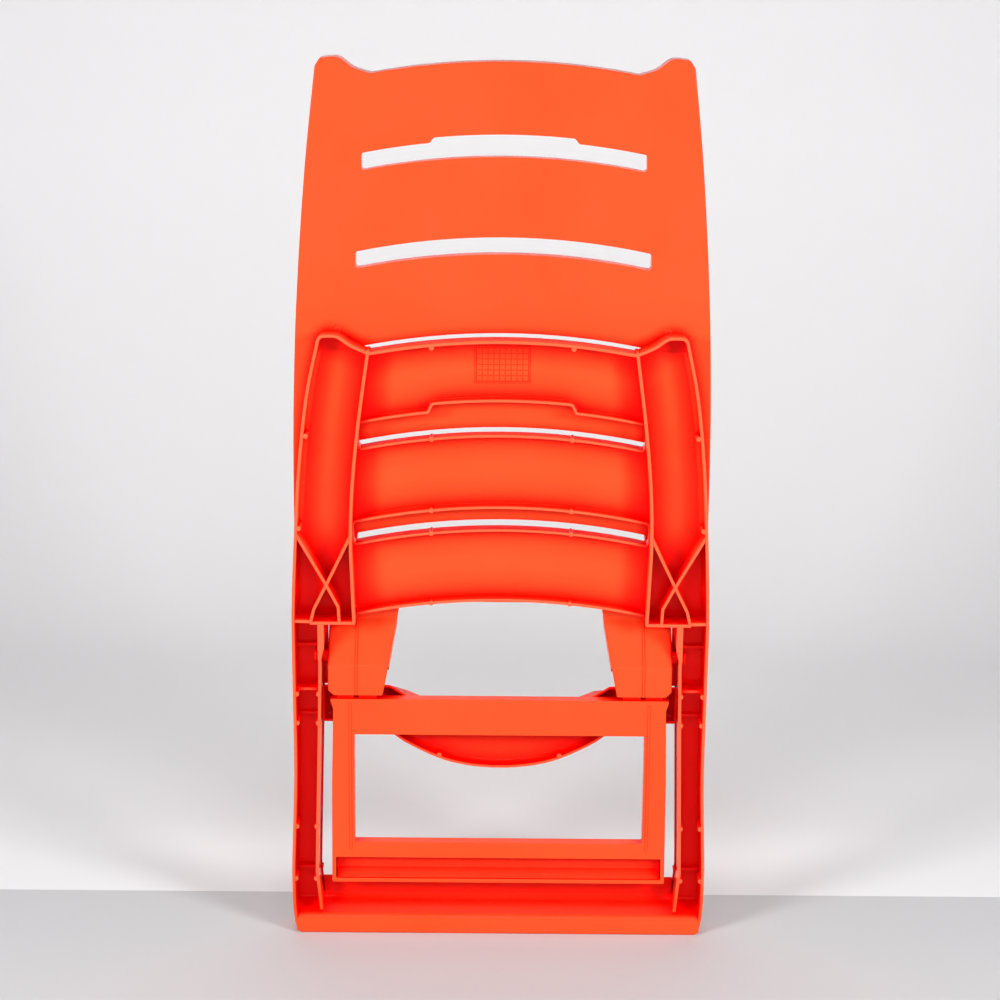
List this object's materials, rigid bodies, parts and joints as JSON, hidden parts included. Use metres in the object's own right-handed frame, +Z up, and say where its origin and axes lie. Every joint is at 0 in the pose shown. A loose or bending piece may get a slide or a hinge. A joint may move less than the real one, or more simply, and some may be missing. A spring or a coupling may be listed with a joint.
{
  "type": "folding sun lounger",
  "caption": "Folding slatted plastic sun lounger, folded flat: seat with rear legs, pivoting back with tabs, and hinged front leg frame.",
  "frame": {"origin": "centre of the bounding box's base, on the floor under the foot bar", "axes": "+Z up along the folded lounger, +X to its side, -Y the way the ribbed underside of the seat faces"},
  "size_m": [0.608, 0.092, 1.279],
  "materials": {
    "seat_plastic": "satin moulded orange-red plastic",
    "back_plastic": "satin moulded orange-red plastic",
    "leg_plastic": "satin moulded orange-red plastic",
    "fitting_plastic": "smooth moulded orange-red plastic",
    "pin_steel": "zinc-plated steel"
  },
  "bodies": {
    "seat": {"seat_moulding": "seat_plastic", "back_pivot_pin_left": "fitting_plastic", "back_pivot_pin_right": "fitting_plastic", "back_pivot_spacer_left": "fitting_plastic", "back_pivot_spacer_right": "fitting_plastic", "back_pivot_retainer_left": "fitting_plastic", "back_pivot_retainer_right": "fitting_plastic"},
    "back": {"back_moulding": "back_plastic", "leg_hinge_pin_left": "pin_steel", "leg_hinge_pin_right": "pin_steel"},
    "leg": {"leg_frame": "leg_plastic"}
  },
  "joints": [
    {"name": "back_pivot", "type": "hinge", "parent": "seat", "child": "back", "pos_m": [0, -0.017, 0.422], "axis": [-1, 0, 0], "range_deg": [0, 115]},
    {"name": "leg_hinge", "type": "hinge", "parent": "back", "child": "leg", "pos_m": [0, -0.034, 0.38], "axis": [-1, 0, 0], "range_deg": [0, 18]}
  ]
}
